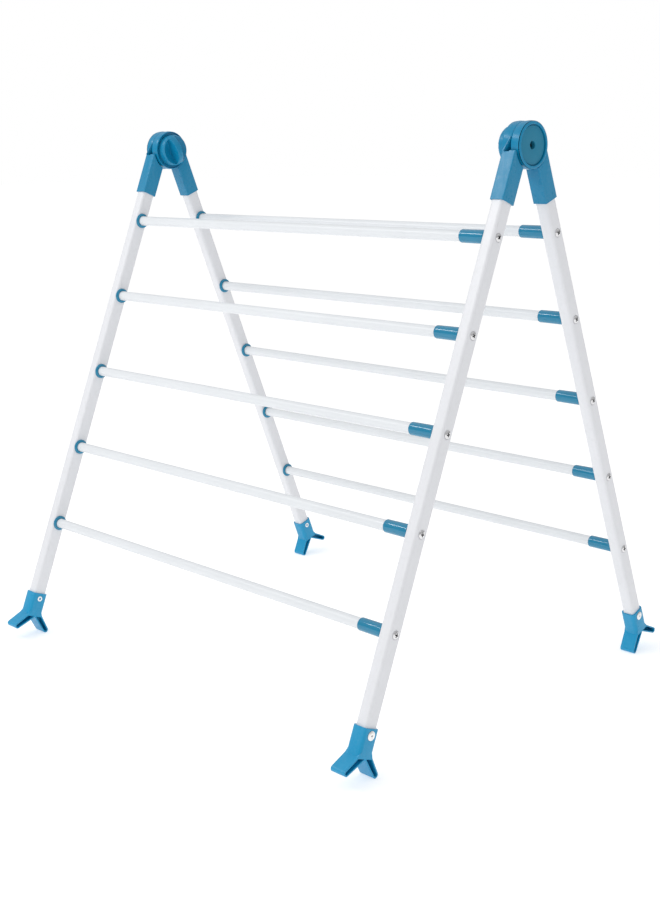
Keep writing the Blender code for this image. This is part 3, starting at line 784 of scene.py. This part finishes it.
for ladder, leaning in LADDERS.items():
    direction = 1 if ladder == "back" else -1
    facing = Matrix.Identity(4) if direction > 0 else HALF_TURN
    for number in range(1, RUNGS + 1):
        place = leaning @ Matrix.Translation((0, OFFSET, -PITCH * number)) @ facing
        stand_in(f"{ladder}_outer_tube_{number}", OUTER_TUBE, place, TUBE_WHITE)
        stand_in(f"{ladder}_inner_tube_{number}", INNER_TUBE, place, PLATED)
        stand_in(f"{ladder}_end_sleeve_{number}", SLEEVE, place, GLOSS_BLUE)
        stand_in(f"{ladder}_collar_{number}", COLLAR, place, GLOSS_BLUE)
    for side, hand in ((-1, "left"), (1, "right")):
        corner = f"{ladder}_{hand}"
        x_middle = direction * side * RAIL_X
        outward = Matrix.Identity(4) if x_middle > 0 else HALF_TURN
        rail = leaning @ Matrix.Translation((x_middle, OFFSET, 0)) @ outward
        stand_in(f"{corner}_rail", RAIL, rail, WHITE)
        foot = leaning @ Matrix.Translation((x_middle, OFFSET, -FOOT_TOP)) @ outward
        stand_in(f"{corner}_foot", FOOT, foot, FOOT_BLUE)
        pin = leaning @ Matrix.Translation((x_middle, OFFSET, -FOOT_TOP - RIVET_DROP))
        stand_in(f"{corner}_foot_rivet", RIVET_MESH, pin @ outward, RIVET)
        arm = leaning @ Matrix.Translation((x_middle, 0, 0))
        stand_in(f"{corner}_hinge_arm", ARMS[x_middle < 0], arm, BLUE)
        for number in range(1, RUNGS + 1):
            turn = Matrix.Rotation(0.5 + 1.3 * number + 0.7 * side, 4, "X")
            head = Matrix.Translation((RAIL_WIDTH / 2, 0, -PITCH * number)) @ turn
            place_piece(f"{corner}_screw_{number}", SCREW_MESH, rail @ head, SCREW,
                        f"{corner}_rail")

for side, hand in ((-1, "left"), (1, "right")):
    hinge = Matrix.Translation((side * RAIL_X, 0, AXIS.z))
    inward = hinge if side < 0 else hinge @ HALF_TURN
    bolt = hinge @ HALF_TURN if side < 0 else hinge
    stand_in(f"{hand}_hinge_bolt", BOLT, bolt, BLACK)
    knob = inward @ Matrix.Rotation(KNOB_TILT[hand], 4, "X")
    stand_in(f"{hand}_hinge_knob", KNOB, knob, BLUE)


# ---------------------------------------------------------------- floor, light, camera

FLOOR_HALF = 30
FLOOR_GLOW = 0.49
SKY_STRENGTH = 0.86
SKY_LOW = (0.40, 0.40, 0.41, 1)
CAMERA_TURN = (45.42, 12.66, -0.56)  # yaw, pitch and roll in degrees
CAMERA_PLACE = (1.3282, -1.2988, AXIS.z - 0.0082)
CAMERA_LENS = 52.69


def floor():
    bm = bmesh.new()
    bmesh.ops.create_grid(bm, x_segments=2, y_segments=2, size=FLOOR_HALF)
    obj = bpy.data.objects.new("floor", finish_mesh(bm, "floor"))
    bpy.context.scene.collection.objects.link(obj)
    t = Tree("floor")
    tone = t.mix(t.spread(t.noise(3, 2), 0.3, 0.7, 0.0, 1.0), (0.70, 0.70, 0.70),
                 (0.71, 0.71, 0.71))
    obj.data.materials.append(t.set(
        Base_Color=tone, Roughness=0.9, Specular_IOR_Level=0.1,
        Emission_Color=(1, 1, 1, 1), Emission_Strength=FLOOR_GLOW))


def area_light(name, place, target, size, power):
    data = bpy.data.lights.new(name, "AREA")
    data.shape = "RECTANGLE"
    data.size, data.size_y = size
    data.energy = power
    obj = bpy.data.objects.new(name, data)
    bpy.context.scene.collection.objects.link(obj)
    obj.location = place
    aim = Vector(target) - Vector(place)
    obj.rotation_mode = "QUATERNION"
    obj.rotation_quaternion = aim.to_track_quat("-Z", "Y")


def world():
    """White to the camera, and otherwise bright above and dimmer round the horizon."""
    made = bpy.data.worlds.new("studio")
    bpy.context.scene.world = made
    made.use_nodes = True
    nodes, links = made.node_tree.nodes, made.node_tree.links
    back = nodes["Background"]
    out = nodes["World Output"]
    coords = nodes.new("ShaderNodeTexCoord")
    split = nodes.new("ShaderNodeSeparateXYZ")
    ramp = nodes.new("ShaderNodeValToRGB")
    links.new(coords.outputs["Generated"], split.inputs["Vector"])
    links.new(split.outputs["Z"], ramp.inputs["Fac"])
    stops = ramp.color_ramp.elements
    stops[0].position, stops[0].color = 0.0, SKY_LOW
    stops[1].position, stops[1].color = 0.75, (1.0, 1.0, 1.0, 1)
    links.new(ramp.outputs["Color"], back.inputs["Color"])
    back.inputs["Strength"].default_value = SKY_STRENGTH
    plain = nodes.new("ShaderNodeBackground")
    plain.inputs["Color"].default_value = (1, 1, 1, 1)
    path = nodes.new("ShaderNodeLightPath")
    mix = nodes.new("ShaderNodeMixShader")
    links.new(path.outputs["Is Camera Ray"], mix.inputs["Fac"])
    links.new(back.outputs["Background"], mix.inputs[1])
    links.new(plain.outputs["Background"], mix.inputs[2])
    links.new(mix.outputs["Shader"], out.inputs["Surface"])


def camera():
    yaw, pitch, roll = (math.radians(v) for v in CAMERA_TURN)
    ahead = Vector((-math.sin(yaw) * math.cos(pitch), math.cos(yaw) * math.cos(pitch),
                    -math.sin(pitch)))
    side = ahead.cross(Vector((0, 0, 1))).normalized()
    over = side.cross(ahead)
    right = math.cos(roll) * side + math.sin(roll) * over
    up = math.cos(roll) * over - math.sin(roll) * side
    data = bpy.data.cameras.new("camera")
    data.sensor_width = 36
    data.lens = CAMERA_LENS
    obj = bpy.data.objects.new("camera", data)
    bpy.context.scene.collection.objects.link(obj)
    matrix = Matrix((right, up, -ahead)).transposed().to_4x4()
    matrix.translation = Vector(CAMERA_PLACE)
    obj.matrix_world = matrix
    bpy.context.scene.camera = obj


floor()
area_light("front", (0.0, -2.6, 1.3), (0, 0, 0.35), (1.4, 1.4), 8)
area_light("upper_left", (-1.5, -1.85, 2.35), (0.2, 0, 0.4), (1.9, 0.20), 18)
area_light("overhead", (0.0, -1.2, 3.6), (0, 0, 0.3), (0.3, 0.3), 4)
world()
camera()
bpy.context.scene.view_settings.view_transform = "Standard"
